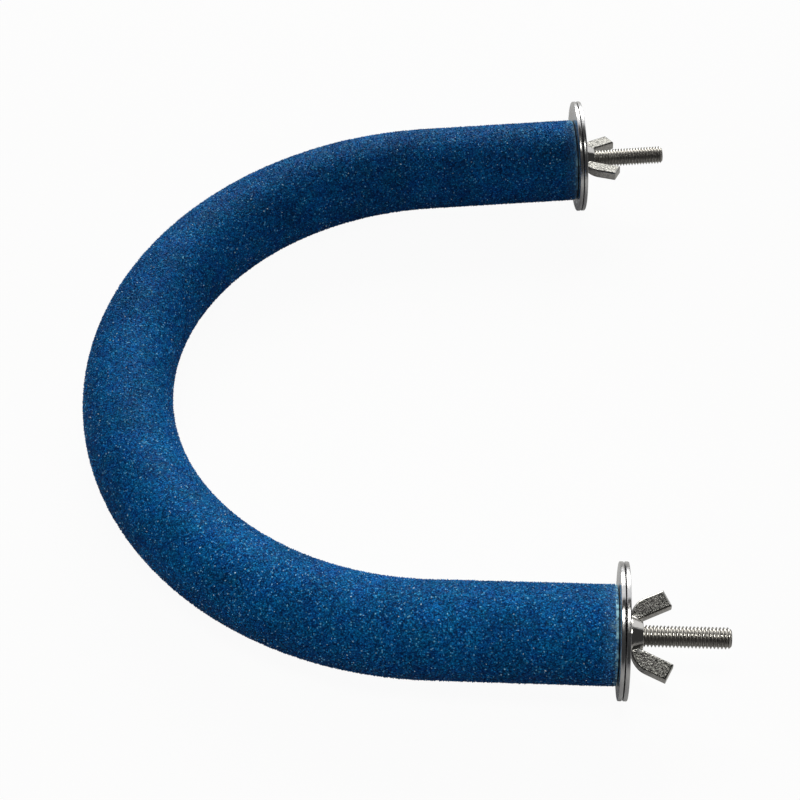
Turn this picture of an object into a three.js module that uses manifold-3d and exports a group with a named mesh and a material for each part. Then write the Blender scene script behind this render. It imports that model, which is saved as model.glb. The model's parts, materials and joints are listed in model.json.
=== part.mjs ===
// Sanding perch: a U of sand-coated pipe with M6 clamp hardware on both ends.
// Millimetres, +Z up. It lies on a flat surface, on the rims of its washers and the bottom of its bend,
// with the open side of the U towards +X. The left leg is at +Y and the right leg at -Y.
import * as THREE from 'three';
import { mergeVertices } from 'three/addons/utils/BufferGeometryUtils.js';
import Module from 'manifold-3d';

const wasm = await Module();
wasm.setup();

// Coated pipe
const BEND_RADIUS = 99.5; // centreline of the bend
const LEG_LENGTH = 51.4; // straight run from the bend to the cut end
const LEG_TOE_OUT = 3.2; // degrees that each leg opens outwards
const PIPE_OD = 25;
const PIPE_WALL = 2;
const COAT_THICKNESS = 1.2;
const COAT_BOND = 0.3; // glue line between the pipe and the sand

// Plug glued into each pipe end
const PLUG_LENGTH = 30;
const PLUG_CHAMFER = 1;
const PLUG_FIT = 0.3; // radial glue gap in the pipe

// Hanger bolt: machine thread outside, plain shank and wood screw in the plug
const THREAD_OD = 6;
const THREAD_PITCH = 1;
const THREAD_DEPTH = 0.61;
const STUD_REACH = 31; // from the cut end to the tip
const STUD_CHAMFER = 0.8;
const SHANK_LENGTH = 5;
const SCREW_LENGTH = 20;
const SCREW_PITCH = 2.5;
const SCREW_DEPTH = 0.9;
const SCREW_POINT = 6; // length of the tapered point
const STUD_FIT = 0.3; // radial gap in the plug
const STUD_END_GAP = 1; // depth left below the point

// Pair of large washers on each stud
const WASHER_OD = 38;
const WASHER_THICKNESS = 1.2;
const WASHER_EDGE = 0.2; // rolled edge
const WASHER_PLAY = 3; // hole size over the thread
const WASHER_LEAN = 45; // degrees from up towards +Y: the way the loose washers sit off centre

// Wing nut
const HUB_HEIGHT = 3.9;
const HUB_FOOT = 0.9; // straight foot below the cone
const HUB_BASE_WALL = 2;
const HUB_TOP_WALL = 0.7;
const WING_SPAN = 27;
const WING_HEIGHT = 12;
const WING_WIDTH = 5.3;
const WING_THICKNESS = 3.1;
const WING_FLARE = 26; // degrees from the stud
const WING_FOOT = 0.5; // height at which the wings leave the hub
const WING_BLEND = 4; // reach of the curve at the outer edge's foot
const WING_BEVEL = 0.5;
const NUT_FIT = 0.3; // radial gap on the thread
const LEFT_NUT_TURN = 100; // degrees of one wing from up towards +Y
const RIGHT_NUT_TURN = 79; // degrees, likewise

// Assembly
const SEAT_GAP = 0.25; // between faces that are clamped together

// Facets
const PIPE_STEPS = 36;
const COAT_SIDES = 20;
const CORE_SIDES = 16;
const THREAD_SIDES = 10;
const THREAD_OVERRUN = 0.5; // turns of thread past both ends of its blank, cut off there
const TURNED_SIDES = 32;
const MERGE_DISTANCE = 1e-4;

const coatRadius = PIPE_OD / 2 + COAT_BOND + COAT_THICKNESS;
const threadRadius = THREAD_OD / 2;
const plugHoleRadius = threadRadius + STUD_FIT;
const nutBoreRadius = threadRadius + NUT_FIT;
const toeOut = THREE.MathUtils.degToRad(LEG_TOE_OUT);

const finishes = {
  sand: new THREE.MeshStandardMaterial({ color: 0x1c4f86, roughness: 0.95, metalness: 0 }),
  pvc: new THREE.MeshStandardMaterial({ color: 0xe4e4df, roughness: 0.5, metalness: 0 }),
  wood: new THREE.MeshStandardMaterial({ color: 0xc8a06a, roughness: 0.8, metalness: 0 }),
  washer: new THREE.MeshStandardMaterial({ color: 0xc4c4c6, roughness: 0.25, metalness: 1 }),
  stud: new THREE.MeshStandardMaterial({ color: 0xa9a59c, roughness: 0.35, metalness: 1 }),
  nut: new THREE.MeshStandardMaterial({ color: 0x9a958c, roughness: 0.45, metalness: 1 }),
};

// Centreline of the pipe, from the right leg's cut end round the bend to the left leg's, even in length.
class PerchPath extends THREE.Curve {
  constructor() {
    super();
    this.sweep = Math.PI - 2 * toeOut;
    this.bendLength = BEND_RADIUS * this.sweep;
    this.total = this.bendLength + 2 * LEG_LENGTH;
  }

  getPoint(t, target = new THREE.Vector3()) {
    const along = (t - 0.5) * this.total;
    const onBend = Math.min(Math.abs(along), this.bendLength / 2);
    const onLeg = Math.abs(along) - onBend;
    const side = Math.sign(along);
    const angle = onBend / BEND_RADIUS;
    return target.set(
      -BEND_RADIUS * Math.cos(angle) + onLeg * Math.cos(toeOut),
      side * (BEND_RADIUS * Math.sin(angle) + onLeg * Math.sin(toeOut)),
      0,
    );
  }
}

// Turns a closed geometry into a solid that can be joined and cut.
function solidOf(geometry) {
  const bare = geometry.clone();
  bare.deleteAttribute('normal');
  bare.deleteAttribute('uv');
  const merged = mergeVertices(bare, MERGE_DISTANCE);
  const corners = merged.index.array;
  const kept = [];
  for (let i = 0; i < corners.length; i += 3) {
    const [a, b, c] = corners.slice(i, i + 3);
    if (a !== b && b !== c && c !== a) kept.push(a, b, c);
  }
  const vertProperties = new Float32Array(merged.attributes.position.array);
  return new wasm.Manifold(new wasm.Mesh({ numProp: 3, vertProperties, triVerts: new Uint32Array(kept) }));
}

function geometryOf(solid) {
  const { vertProperties, triVerts } = solid.getMesh();
  const geometry = new THREE.BufferGeometry();
  geometry.setAttribute('position', new THREE.BufferAttribute(vertProperties, 3));
  geometry.setIndex(new THREE.BufferAttribute(triVerts, 1));
  geometry.computeVertexNormals();
  return geometry;
}

// Turned shape about +Y from a profile of [radius, height] pairs.
function turned(profile, sides = TURNED_SIDES) {
  return new THREE.LatheGeometry(profile.map(([radius, height]) => new THREE.Vector2(radius, height)), sides);
}

// Pipe along the whole perch, from its outer and inner radius.
function sweptPipe(outerRadius, innerRadius, sides) {
  const section = new THREE.Shape().absarc(0, 0, outerRadius, 0, 2 * Math.PI);
  section.holes.push(new THREE.Path().absarc(0, 0, innerRadius, 0, 2 * Math.PI));
  return new THREE.ExtrudeGeometry(section, {
    steps: PIPE_STEPS,
    curveSegments: sides / 2,
    bevelEnabled: false,
    extrudePath: new PerchPath(),
  });
}

// Right-hand V thread about +Y. Crest and root rows wind round the rod, so one turn climbs two rows.
function threadGeometry({ crest, depth, pitch, bottom, top }) {
  const rows = 2 * Math.ceil((top - bottom) / pitch + 1 + 2 * THREAD_OVERRUN);
  const start = bottom - (1 + THREAD_OVERRUN) * pitch;
  const positions = [];
  for (let row = 0; row <= rows + 2; row += 1) {
    const radius = row % 2 ? crest : crest - depth;
    for (let side = 0; side < THREAD_SIDES; side += 1) {
      const turn = side / THREAD_SIDES;
      const angle = 2 * Math.PI * turn;
      positions.push(radius * Math.sin(angle), start + pitch * (row / 2 + turn), radius * Math.cos(angle));
    }
  }
  const bottomCentre = positions.length / 3;
  positions.push(0, start, 0);
  const topCentre = positions.length / 3;
  positions.push(0, start + pitch * (rows / 2 + 1), 0);

  const vertex = (row, side) => (
    side === THREAD_SIDES ? (row + 2) * THREAD_SIDES : row * THREAD_SIDES + side
  );
  const index = [];
  for (let row = 0; row < rows; row += 1) {
    for (let side = 0; side < THREAD_SIDES; side += 1) {
      const a = vertex(row, side);
      const b = vertex(row, side + 1);
      const c = vertex(row + 1, side + 1);
      const d = vertex(row + 1, side);
      index.push(a, b, c, a, c, d);
    }
  }
  const edgeLoop = (row) => {
    const loop = [];
    for (let side = 0; side <= THREAD_SIDES; side += 1) loop.push(vertex(row, side));
    loop.push(vertex(row + 1, 0));
    return loop;
  };
  const closeEnd = (loop, centre, upwards) => {
    loop.forEach((from, i) => {
      const to = loop[(i + 1) % loop.length];
      index.push(centre, upwards ? from : to, upwards ? to : from);
    });
  };
  closeEnd(edgeLoop(0), bottomCentre, false);
  closeEnd(edgeLoop(rows), topCentre, true);

  const geometry = new THREE.BufferGeometry();
  geometry.setAttribute('position', new THREE.Float32BufferAttribute(positions, 3));
  geometry.setIndex(index);
  return geometry;
}

// Thread cut to the turned outline that its blank had.
function threadSolid(thread, blankProfile) {
  return solidOf(threadGeometry(thread)).intersect(solidOf(turned(blankProfile)));
}

// Hanger bolt about +Y, with its cut-end plane at height 0.
function studGeometry() {
  const blank = threadRadius + THREAD_DEPTH;
  const chamferTop = threadRadius - STUD_CHAMFER;
  const lap = THREAD_PITCH / 2;
  const machineThread = threadSolid(
    { crest: threadRadius, depth: THREAD_DEPTH, pitch: THREAD_PITCH, bottom: 0, top: STUD_REACH },
    [[0, 0], [blank, 0], [blank, STUD_REACH - blank + chamferTop], [chamferTop, STUD_REACH], [0, STUD_REACH]],
  );
  const screwTop = -SHANK_LENGTH;
  const screwTip = screwTop - SCREW_LENGTH;
  const screwThread = threadSolid(
    { crest: threadRadius, depth: SCREW_DEPTH, pitch: SCREW_PITCH, bottom: screwTip, top: screwTop },
    [[0, screwTip], [blank, screwTip + SCREW_POINT], [blank, screwTop], [0, screwTop]],
  );
  const shankRadius = threadRadius - THREAD_DEPTH / 2;
  const shank = solidOf(turned(
    [[0, screwTop - lap], [shankRadius, screwTop - lap], [shankRadius, lap], [0, lap]],
    THREAD_SIDES,
  ));
  return geometryOf(machineThread.add(shank).add(screwThread));
}

// Plug about +Y, its outer face at height 0, drilled blind for the stud.
function plugGeometry() {
  const radius = PIPE_OD / 2 - PIPE_WALL - PLUG_FIT;
  const holeDepth = SHANK_LENGTH + SCREW_LENGTH + STUD_END_GAP;
  return turned([
    [0, -PLUG_LENGTH],
    [radius - PLUG_CHAMFER, -PLUG_LENGTH],
    [radius, -PLUG_LENGTH + PLUG_CHAMFER],
    [radius, 0],
    [plugHoleRadius, 0],
    [plugHoleRadius, -holeDepth],
    [0, -holeDepth],
  ]);
}

// Washer about +Y, standing on height 0.
function washerGeometry() {
  const outer = WASHER_OD / 2;
  const hole = (THREAD_OD + WASHER_PLAY) / 2;
  return turned([
    [hole, 0],
    [outer - WASHER_EDGE, 0],
    [outer, WASHER_EDGE],
    [outer, WASHER_THICKNESS - WASHER_EDGE],
    [outer - WASHER_EDGE, WASHER_THICKNESS],
    [hole, WASHER_THICKNESS],
    [hole, 0],
  ]);
}

// One wing in its own plane: x is the distance from the stud, y the height over the nut's foot.
function wingShape() {
  const flare = THREE.MathUtils.degToRad(WING_FLARE);
  const along = new THREE.Vector2(Math.sin(flare), Math.cos(flare));
  const across = new THREE.Vector2(Math.cos(flare), -Math.sin(flare));
  const tipOuter = new THREE.Vector2(WING_SPAN / 2, WING_HEIGHT + WING_WIDTH * across.y);
  const tipInner = tipOuter.clone().addScaledVector(across, -WING_WIDTH);
  const innerEnd = nutBoreRadius + HUB_TOP_WALL / 2;
  const innerHeight = tipInner.y - (tipInner.x - innerEnd) / Math.tan(flare);
  const footLength = (tipOuter.y - WING_FOOT) / Math.cos(flare);
  const foot = tipOuter.clone().addScaledVector(along, -footLength);
  const blendEnd = foot.clone().addScaledVector(along, Math.min(WING_BLEND, footLength / 2));
  const shape = new THREE.Shape();
  shape.moveTo(innerEnd, WING_FOOT);
  shape.quadraticCurveTo(foot.x, foot.y, blendEnd.x, blendEnd.y);
  shape.lineTo(tipOuter.x, tipOuter.y);
  shape.lineTo(tipInner.x, tipInner.y);
  shape.lineTo(innerEnd, innerHeight);
  return shape;
}

// Wing nut about +Y, standing on height 0, with its wings along +X and -X.
function wingNutGeometry() {
  const base = nutBoreRadius + HUB_BASE_WALL;
  const hub = solidOf(turned([
    [0, 0],
    [base, 0],
    [base, HUB_FOOT],
    [nutBoreRadius + HUB_TOP_WALL, HUB_HEIGHT],
    [0, HUB_HEIGHT],
  ]));
  const wing = new THREE.ExtrudeGeometry(wingShape(), {
    depth: WING_THICKNESS - 2 * WING_BEVEL,
    curveSegments: 6,
    bevelThickness: WING_BEVEL,
    bevelSize: WING_BEVEL,
    bevelOffset: -WING_BEVEL,
    bevelSegments: 1,
  });
  wing.translate(0, 0, WING_BEVEL - WING_THICKNESS / 2);
  const otherWing = wing.clone().rotateY(Math.PI);
  const bore = solidOf(turned([
    [0, -HUB_HEIGHT],
    [nutBoreRadius, -HUB_HEIGHT],
    [nutBoreRadius, 2 * WING_HEIGHT],
    [0, 2 * WING_HEIGHT],
  ]));
  return geometryOf(hub.add(solidOf(wing)).add(solidOf(otherWing)).subtract(bore));
}

// Named mesh whose turning axis +Y is laid along the stud, +X, at a distance from the cut end.
function onStud(name, geometry, material, distance = 0) {
  const mesh = new THREE.Mesh(geometry.rotateZ(-Math.PI / 2), material);
  mesh.name = name;
  mesh.position.x = distance;
  return mesh;
}

// Loose washers sit off centre until the stud stops them.
function leanWasher(mesh) {
  const lean = THREE.MathUtils.degToRad(WASHER_LEAN);
  const offset = WASHER_PLAY / 2 - STUD_FIT;
  mesh.position.y = offset * Math.sin(lean);
  mesh.position.z = offset * Math.cos(lean);
  return mesh;
}

// Hardware of one leg, with +X along the stud and the cut end at x = 0.
function endHardware(side, nutTurn) {
  const outerSeat = 2 * SEAT_GAP + WASHER_THICKNESS;
  const nutSeat = outerSeat + WASHER_THICKNESS + SEAT_GAP;
  const wingNut = onStud(`${side}_wing_nut`, wingNutGeometry().rotateY(Math.PI / 2), finishes.nut, nutSeat);
  wingNut.rotation.x = -THREE.MathUtils.degToRad(nutTurn);
  const hardware = new THREE.Group();
  hardware.add(
    onStud(`${side}_end_plug`, plugGeometry(), finishes.wood),
    onStud(`${side}_stud`, studGeometry(), finishes.stud),
    leanWasher(onStud(`${side}_inner_washer`, washerGeometry(), finishes.washer, SEAT_GAP)),
    leanWasher(onStud(`${side}_outer_washer`, washerGeometry(), finishes.washer, outerSeat)),
    wingNut,
  );
  return hardware;
}

function namedMesh(name, geometry, material) {
  const mesh = new THREE.Mesh(geometry, material);
  mesh.name = name;
  return mesh;
}

// Angle at which the bend's bottom and the washers' rims touch one flat surface.
function lyingTilt(legEnd) {
  const lean = THREE.MathUtils.degToRad(WASHER_LEAN);
  const rimDrop = WASHER_OD / 2 - (WASHER_PLAY / 2 - STUD_FIT) * Math.cos(lean);
  const reach = legEnd.x + BEND_RADIUS;
  return Math.acos(coatRadius / Math.hypot(rimDrop, reach)) - Math.atan2(reach, rimDrop);
}

function buildPerch() {
  const path = new PerchPath();
  const legEnd = path.getPoint(1);
  const pipeRadius = PIPE_OD / 2;

  const left = endHardware('left', LEFT_NUT_TURN);
  left.position.copy(legEnd);
  left.rotation.z = toeOut;

  const right = endHardware('right', RIGHT_NUT_TURN);
  right.position.set(legEnd.x, -legEnd.y, legEnd.z);
  right.rotation.z = -toeOut;

  const lying = new THREE.Group();
  lying.rotation.y = -lyingTilt(legEnd);
  lying.add(
    namedMesh('pipe_core', sweptPipe(pipeRadius, pipeRadius - PIPE_WALL, CORE_SIDES), finishes.pvc),
    namedMesh('sand_coating', sweptPipe(coatRadius, pipeRadius + COAT_BOND, COAT_SIDES), finishes.sand),
    left,
    right,
  );

  const perch = new THREE.Group();
  perch.add(lying);
  perch.updateMatrixWorld(true);
  const box = new THREE.Box3().setFromObject(perch, true);
  const middle = box.getCenter(new THREE.Vector3());
  lying.position.set(-middle.x, -middle.y, -box.min.z);
  perch.updateMatrixWorld(true);
  return perch;
}

export default buildPerch();
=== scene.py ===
"""Sanding perch: a sand-coated U of pipe, with washers and wing nuts on a threaded stud at both ends.

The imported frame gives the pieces' places. Each class models one sub-assembly round it, in metres.
"""

from __future__ import annotations

import json
import logging
import math
from abc import ABC, abstractmethod
from collections.abc import Callable, Sequence
from dataclasses import dataclass
from enum import Enum
from functools import cached_property

import bmesh
import bpy
import numpy as np
from bpy.types import Material, Node, NodeInputs, NodeOutputs, NodeSocket, NodeTree, Object
from mathutils import Matrix, Vector

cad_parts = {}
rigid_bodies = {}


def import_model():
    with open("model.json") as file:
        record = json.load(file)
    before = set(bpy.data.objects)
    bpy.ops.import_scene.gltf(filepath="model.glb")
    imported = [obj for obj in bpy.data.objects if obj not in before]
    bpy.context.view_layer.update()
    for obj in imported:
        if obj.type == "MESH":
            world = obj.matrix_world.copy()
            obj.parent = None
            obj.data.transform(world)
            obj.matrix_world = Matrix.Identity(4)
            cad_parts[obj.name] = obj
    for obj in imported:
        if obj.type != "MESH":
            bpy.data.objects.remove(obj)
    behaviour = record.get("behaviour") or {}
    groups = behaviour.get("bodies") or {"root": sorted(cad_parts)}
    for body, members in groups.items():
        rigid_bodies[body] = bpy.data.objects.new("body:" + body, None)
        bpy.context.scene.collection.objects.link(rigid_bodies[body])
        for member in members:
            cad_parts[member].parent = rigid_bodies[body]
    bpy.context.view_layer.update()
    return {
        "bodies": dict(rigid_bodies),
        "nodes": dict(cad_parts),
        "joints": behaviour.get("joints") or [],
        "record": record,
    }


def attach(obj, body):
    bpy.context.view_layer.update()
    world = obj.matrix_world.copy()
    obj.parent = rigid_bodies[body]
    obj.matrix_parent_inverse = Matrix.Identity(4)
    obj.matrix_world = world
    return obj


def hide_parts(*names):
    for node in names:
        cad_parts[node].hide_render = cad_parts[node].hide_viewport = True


log = logging.getLogger("sanding_perch")

MM = 0.001
FULL_TURN = 2 * math.pi
HALF_TURN = math.pi
TOUCHING = 1e-6  # metres: places nearer than this are the same place
SEAM = 1e-7  # metres: doubled vertices lie nearer than this
FACING_UP = 0.9  # the least Z of a normal that points up
BAKE_MAP = "OFBake"  # the map that a piece is baked through

Triple = tuple[float, float, float]
Colour = Triple
Stops = tuple[tuple[float, Colour], ...]


class Side(Enum):
    """The two legs of the perch, by the sign of Y that each lies on."""

    LEFT = 1
    RIGHT = -1

    @property
    def word(self) -> str:
        """The side's name as the CAD nodes spell it."""
        return self.name.lower()


class Body(Enum):
    """What a piece moves with on its own side, or the perch that carries it all."""

    PERCH = "perch"
    INNER_WASHER = "inner_washer"
    OUTER_WASHER = "outer_washer"
    WING_NUT = "wing_nut"

    def on(self, side: Side) -> str:
        """The CAD body's name on one side."""
        return self.value if self is Body.PERCH else f"{side.word}_{self.value}"


class Slot(Enum):
    """The record's material slots."""

    BLUE_SAND = "blue_sand"
    WHITE_PVC = "white_pvc"
    PLUG_WOOD = "plug_wood"
    WASHER_STEEL = "washer_steel"
    STUD_STEEL = "stud_steel"
    NUT_STEEL = "nut_steel"


class Layer(Enum):
    """The numbers that a mesh stores for its finish to read."""

    CUT_EDGE = "cut_edge"
    END_HAZE = "end_haze"
    RIM_WEAR = "rim_wear"
    GRAIN_DRAW = "grain_draw"
    GRAIN_WEAR = "grain_wear"
    GROOVE = "groove"
    MATT_FACE = "matt_face"
    FORGED_SKIN = "forged_skin"


class Element(Enum):
    """What can be picked on a mesh, with the name of its list there."""

    VERT = "verts"
    EDGE = "edges"
    FACE = "faces"


class Lumps(Enum):
    """The textures that a surface is pushed by."""

    SOFT = "CLOUDS"
    PACKED = "VORONOI"


# Modelling moves


def set_all(item: bpy.types.bpy_struct, settings: dict[str, object]) -> None:
    """Sets an item's properties by name."""
    for name, value in settings.items():
        setattr(item, name, value)


def start_afresh() -> None:
    """Leaves edit mode and deselects every object, so that the next move acts on its own piece alone."""
    active = bpy.context.view_layer.objects.active
    if active is not None and active.mode != "OBJECT":
        bpy.ops.object.mode_set(mode="OBJECT")
    bpy.ops.object.select_all(action="DESELECT")


def take_up(piece: Object) -> None:
    """Makes one piece the only selected and active object.

    Args:
        piece: The piece.
    """
    start_afresh()
    piece.select_set(True)
    bpy.context.view_layer.objects.active = piece


def named(name: str) -> Object:
    """Names the object that was just made, and its mesh.

    Args:
        name: The name.

    Returns:
        The object.
    """
    piece = bpy.context.view_layer.objects.active
    piece.name = piece.data.name = name
    return piece


def settle(piece: Object, place: Matrix) -> None:
    """Puts a piece in its place and applies that to its mesh, which leaves the object at the origin.

    Args:
        piece: The piece, modelled about the origin.
        place: The placement in the row frame.
    """
    take_up(piece)
    piece.matrix_world = place
    bpy.ops.object.transform_apply(location=True, rotation=True, scale=True)


def primitive(add: Callable[..., set[str]], name: str, **settings: object) -> Object:
    """Adds a primitive and applies its place to its mesh.

    Args:
        add: The operator that adds it.
        name: The name to give it.
        settings: The operator's settings.

    Returns:
        The primitive.
    """
    start_afresh()
    add(**settings)
    piece = named(name)
    settle(piece, piece.matrix_world.copy())
    return piece


def copied(piece: Object, name: str) -> Object:
    """Copies a piece with a mesh of its own.

    Args:
        piece: The piece to copy.
        name: The copy's name.

    Returns:
        The copy.
    """
    take_up(piece)
    bpy.ops.object.duplicate(linked=False)
    return named(name)


def edit(piece: Object) -> None:
    """Opens a piece in edit mode with all of it selected.

    Args:
        piece: The piece.
    """
    take_up(piece)
    bpy.ops.object.mode_set(mode="EDIT")
    bpy.ops.mesh.select_mode(type="VERT")
    bpy.ops.mesh.select_all(action="SELECT")


def pick(piece: Object, kind: Element, test: Callable[..., bool]) -> None:
    """Selects, in edit mode, what passes a test on a piece, and nothing else.

    Args:
        piece: The piece.
        kind: What to pick.
        test: Takes a bmesh element and says whether it is wanted.
    """
    if piece.mode != "EDIT":
        edit(piece)
    bpy.ops.mesh.select_mode(type=kind.name)
    bpy.ops.mesh.select_all(action="DESELECT")
    shape = bmesh.from_edit_mesh(piece.data)
    for element in filter(test, getattr(shape, kind.value)):
        element.select_set(True)
    shape.select_flush_mode()
    bmesh.update_edit_mesh(piece.data)


def faces_up(face: bmesh.types.BMFace) -> bool:
    """Whether a face points up."""
    return face.normal.z > FACING_UP


def close_seams(piece: Object, distance: float = SEAM) -> None:
    """Merges doubled vertices and turns all faces outwards.

    Args:
        piece: The piece to close.
        distance: How near two vertices lie that count as one, in metres.
    """
    edit(piece)
    bpy.ops.mesh.remove_doubles(threshold=distance)
    bpy.ops.mesh.normals_make_consistent(inside=False)
    start_afresh()


def spin_round(piece: Object, steps: int) -> None:
    """Spins an outline about +Z into a closed solid.

    Args:
        piece: The outline.
        steps: The facets round the solid.
    """
    edit(piece)
    bpy.ops.mesh.spin(steps=steps, angle=FULL_TURN, center=(0, 0, 0), axis=(0, 0, 1))
    close_seams(piece)


def cut_off(piece: Object, corner: Sequence[float], normal: Sequence[float]) -> None:
    """Cuts off what lies on one side of a plane, and closes the cut.

    Args:
        piece: The piece to cut.
        corner: A place on the plane.
        normal: The plane's normal, towards what goes.
    """
    edit(piece)
    bpy.ops.mesh.bisect(plane_co=corner, plane_no=normal, use_fill=True, clear_outer=True, threshold=SEAM)


def modify(piece: Object, kind: str, **settings: object) -> None:
    """Adds a modifier and applies it.

    Args:
        piece: The piece to change.
        kind: The modifier's type.
        settings: Its properties.
    """
    take_up(piece)
    bpy.ops.object.modifier_add(type=kind)
    modifier = piece.modifiers[-1]
    set_all(modifier, settings)
    bpy.ops.object.modifier_apply(modifier=modifier.name)


def combine(piece: Object, tool: Object, operation: str) -> None:
    """Joins a solid to a piece or cuts the piece with it, by a Boolean operation, and uses the solid up."""
    modify(piece, "BOOLEAN", object=tool, operation=operation, solver="EXACT")
    bpy.data.objects.remove(tool, do_unlink=True)


def smooth(piece: Object, crease: float) -> None:
    """Shades a piece smooth, apart from edges sharper than a crease angle in degrees."""
    take_up(piece)
    bpy.ops.object.shade_smooth_by_angle(angle=math.radians(crease))


def rows_of(piece: Object, layer: str = "co") -> np.ndarray:
    """Reads a piece's vertices.

    Args:
        piece: The piece.
        layer: What to read: co for places, or normal.

    Returns:
        One row for each vertex.
    """
    rows = np.empty((len(piece.data.vertices), 3), np.float32)
    piece.data.vertices.foreach_get(layer, rows.ravel())
    return rows.astype(float)


def from_axis(points: np.ndarray) -> np.ndarray:
    """How far points lie from the Z axis."""
    return np.hypot(points[:, 0], points[:, 1])


def paint(piece: Object, layer: Layer, values: np.ndarray) -> None:
    """Stores one number for each vertex of a piece."""
    stored = piece.data.attributes.new(name=layer.value, type="FLOAT", domain="POINT")
    stored.data.foreach_set("value", np.ascontiguousarray(values, dtype=np.float32))


def lay_out(piece: Object, places: np.ndarray) -> None:
    """Gives a piece the map that it is baked through, by each face corner's place from 0 to 1."""
    stored = piece.data.uv_layers.new(name=BAKE_MAP, do_init=False)
    stored.uv.foreach_set("vector", np.ascontiguousarray(places, dtype=np.float32).ravel())


def fade(values: np.ndarray, start: float, end: float) -> np.ndarray:
    """Runs from 1 at start to 0 at end, and stays there beyond them."""
    return np.clip((end - values) / (end - start), 0.0, 1.0)


@dataclass(frozen=True)
class Relief:
    """Lumps that push a surface: their size and height, and the texture's level that leaves it in place."""

    name: str
    lumps: Lumps
    size: float
    height: float
    layers: int = 2
    direction: str = "NORMAL"
    level: float = 0.5

    def push(self, piece: Object, weights: np.ndarray) -> None:
        """Pushes a piece's vertices.

        Args:
            piece: The piece.
            weights: How much of the height each vertex takes.
        """
        texture = bpy.data.textures.new(self.name, self.lumps.value)
        texture.noise_scale = self.size
        if self.lumps is Lumps.SOFT:
            texture.noise_depth = self.layers
        group = piece.vertex_groups.new(name=self.name)
        for index in np.flatnonzero(weights):
            group.add([int(index)], float(weights[index]), "REPLACE")
        modify(
            piece,
            "DISPLACE",
            texture=texture,
            texture_coords="LOCAL",
            strength=self.height,
            direction=self.direction,
            mid_level=self.level,
            vertex_group=self.name,
        )
        piece.vertex_groups.remove(piece.vertex_groups[self.name])


# Shader graphs


class Graph:
    """Adds nodes to a node tree and feeds their sockets."""

    def __init__(self, tree: NodeTree) -> None:
        """Starts on an existing tree."""
        self.tree = tree

    def feed(self, socket: NodeSocket, value: object) -> None:
        """Links an output to a socket, or sets the socket's own value.

        Args:
            socket: The input socket.
            value: An output socket, a colour or another plain value.
        """
        if isinstance(value, NodeSocket):
            self.tree.links.new(value, socket)
        else:
            socket.default_value = (*value, 1.0) if socket.type == "RGBA" else value

    def feed_named(self, item: Node, sockets: dict[str, object]) -> None:
        """Feeds a node's sockets by name, with _ for a space."""
        for name, value in sockets.items():
            self.feed(item.inputs[name.replace("_", " ")], value)

    def add(
        self,
        kind: str,
        settings: dict[str, object] | None = None,
        values: Sequence = (),
        **sockets: object,
    ) -> Node:
        """Adds a node.

        Args:
            kind: The node's type.
            settings: Its properties.
            values: What feeds its first sockets, in order.
            sockets: What feeds its named sockets, with _ for a space.

        Returns:
            The node.
        """
        item = self.tree.nodes.new(kind)
        set_all(item, settings or {})
        for socket, value in zip(item.inputs, values):
            self.feed(socket, value)
        self.feed_named(item, sockets)
        return item

    def math(self, operation: str, first: object, *others: object) -> NodeSocket:
        """Works a sum of two values through a row of them.

        Args:
            operation: The sum.
            first: The value to start from.
            others: What the result so far is taken with, one after another.

        Returns:
            The last result.
        """
        for other in others:
            first = self.add("ShaderNodeMath", {"operation": operation}, (first, other)).outputs[0]
        return first

    def mix(self, share: object, first: object, second: object, blend: str = "MIX") -> NodeSocket:
        """Mixes two colours.

        Args:
            share: How much of the second colour shows, from 0 to 1.
            first: The first colour.
            second: The second colour.
            blend: The way to blend.

        Returns:
            The mixed colour.
        """
        item = self.add("ShaderNodeMix", {"data_type": "RGBA", "blend_type": blend})
        for index, value in ((0, share), (6, first), (7, second)):  # the sockets that mix colours
            self.feed(item.inputs[index], value)
        return item.outputs[2]

    def ramp(self, value: object, stops: Stops) -> NodeSocket:
        """A colour ramp.

        Args:
            value: What picks the colour, from 0 to 1.
            stops: Each colour with its place.

        Returns:
            The colour.
        """
        item = self.add("ShaderNodeValToRGB", None, (value,))
        elements = item.color_ramp.elements
        for index, (position, colour) in enumerate(stops):
            element = elements[index] if index < len(elements) else elements.new(position)
            element.position = position
            element.color = (*colour, 1.0)
        return item.outputs[0]

    def stored(self, layer: Layer) -> NodeSocket:
        """A number that the mesh stores."""
        return self.add("ShaderNodeAttribute", {"attribute_name": layer.value}).outputs["Fac"]

    def light_path(self) -> tuple[NodeSocket, NodeSocket]:
        """Tells apart what looks at a surface.

        Returns:
            Whether the camera does, and whether metal or glass does.
        """
        path = self.add("ShaderNodeLightPath").outputs
        mirrored = self.math("MAXIMUM", path["Is Glossy Ray"], path["Is Transmission Ray"])
        return path["Is Camera Ray"], mirrored


@dataclass(frozen=True)
class Span:
    """Maps a value between low and high to the range from start to end, and holds it there."""

    low: float
    high: float
    start: float = 0.0
    end: float = 1.0

    def of(self, graph: Graph, value: object) -> NodeSocket:
        """The mapped value."""
        ends = (self.low, self.high, self.start, self.end)
        return graph.add("ShaderNodeMapRange", None, (value, *ends)).outputs[0]


@dataclass(frozen=True)
class Patches(Span):
    """Uneven patches: mapped noise of so many waves for each metre, with finer layers."""

    scale: float = 1.0
    detail: float = 2.0
    roughness: float = 0.5

    def on(self, graph: Graph, place: NodeSocket, fineness: NodeSocket | None = None) -> NodeSocket:
        """Lays the patches on a place.

        Args:
            graph: The graph to add them to.
            place: The coordinates.
            fineness: What the scale is a share of, if it is one.

        Returns:
            The value.
        """
        scale = self.scale if fineness is None else graph.math("MULTIPLY", fineness, self.scale)
        layers = {"Detail": self.detail, "Roughness": self.roughness}
        noise = graph.add("ShaderNodeTexNoise", Vector=place, Scale=scale, **layers)
        return self.of(graph, noise.outputs[0])


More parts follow.
